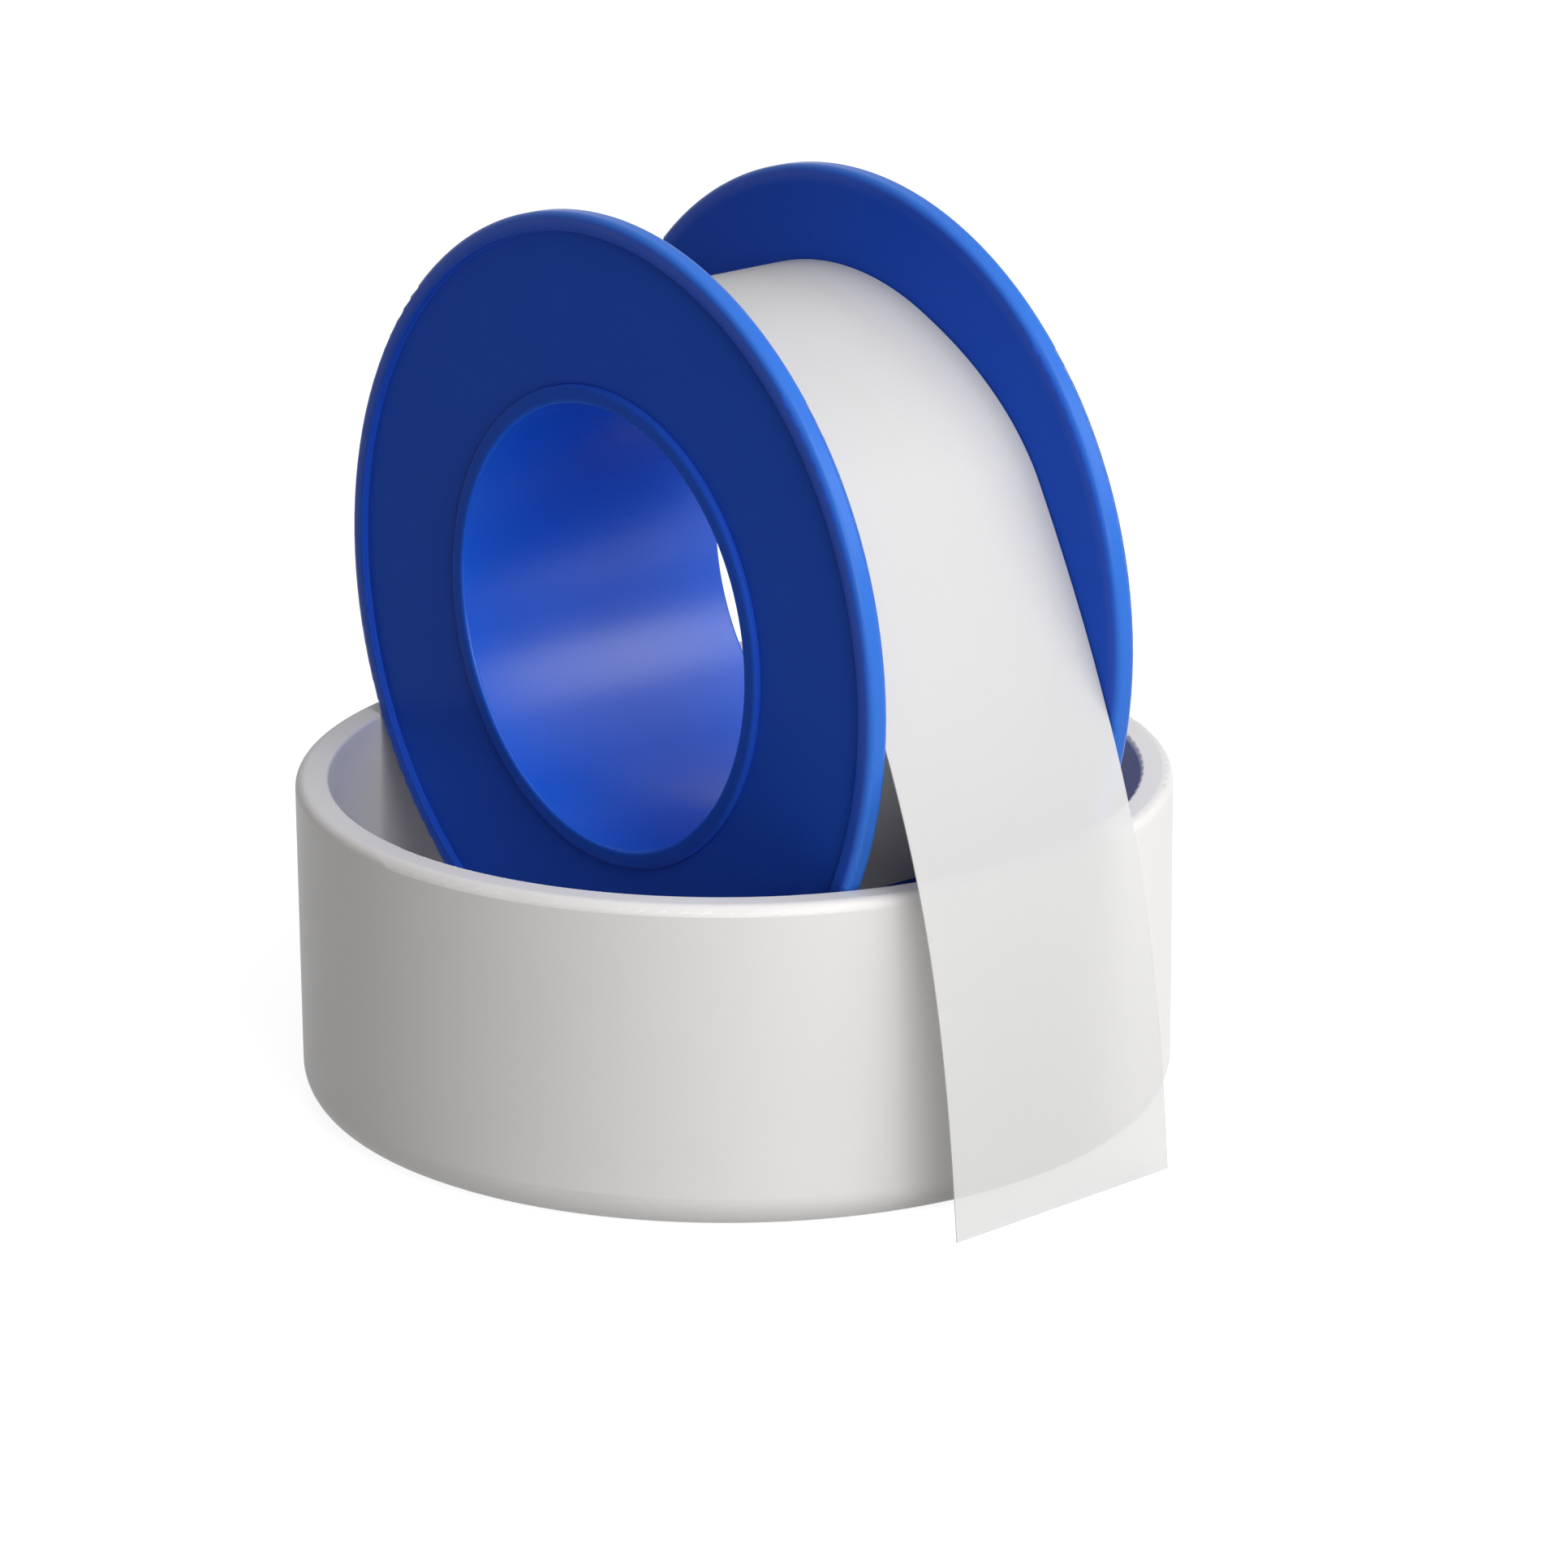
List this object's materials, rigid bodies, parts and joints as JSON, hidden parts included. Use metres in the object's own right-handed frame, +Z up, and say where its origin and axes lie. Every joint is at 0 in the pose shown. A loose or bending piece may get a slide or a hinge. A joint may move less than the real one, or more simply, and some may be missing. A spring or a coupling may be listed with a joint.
{
  "type": "thread seal tape roll",
  "caption": "Thread seal tape on a blue flanged spool standing upright in its open round white cover, with the tape's end hanging over the lip.",
  "frame": {"origin": "centre of the round hole in the cover's underside, on the surface that the cover stands on", "axes": "+Z up out of the cover, +Y along the spool's axis from the front flange to the back flange, +X towards the side where the free end of the tape hangs"},
  "size_m": [0.0627, 0.0586, 0.0612],
  "materials": {
    "cover_plastic": "satin moulded white polypropylene",
    "spool_plastic": "satin moulded blue polystyrene",
    "tape_film": "soft white fluoropolymer film, slightly see-through"
  },
  "bodies": {
    "cover": {"cover": "cover_plastic"},
    "loose_tape": {"tape_tail": "tape_film"},
    "spool": {"front_flange": "spool_plastic", "back_flange": "spool_plastic", "core_tube": "spool_plastic", "tape_winding": "tape_film"}
  },
  "joints": [
    {"name": "roll_lift", "type": "slide", "parent": "cover", "child": "loose_tape", "axis": [0, 0, 1], "range_m": [0, 0.05]},
    {"name": "spool_spin", "type": "hinge", "parent": "loose_tape", "child": "spool", "pos_m": [0, 0, 0.03369], "axis": [0, 1, 0], "continuous": true}
  ]
}
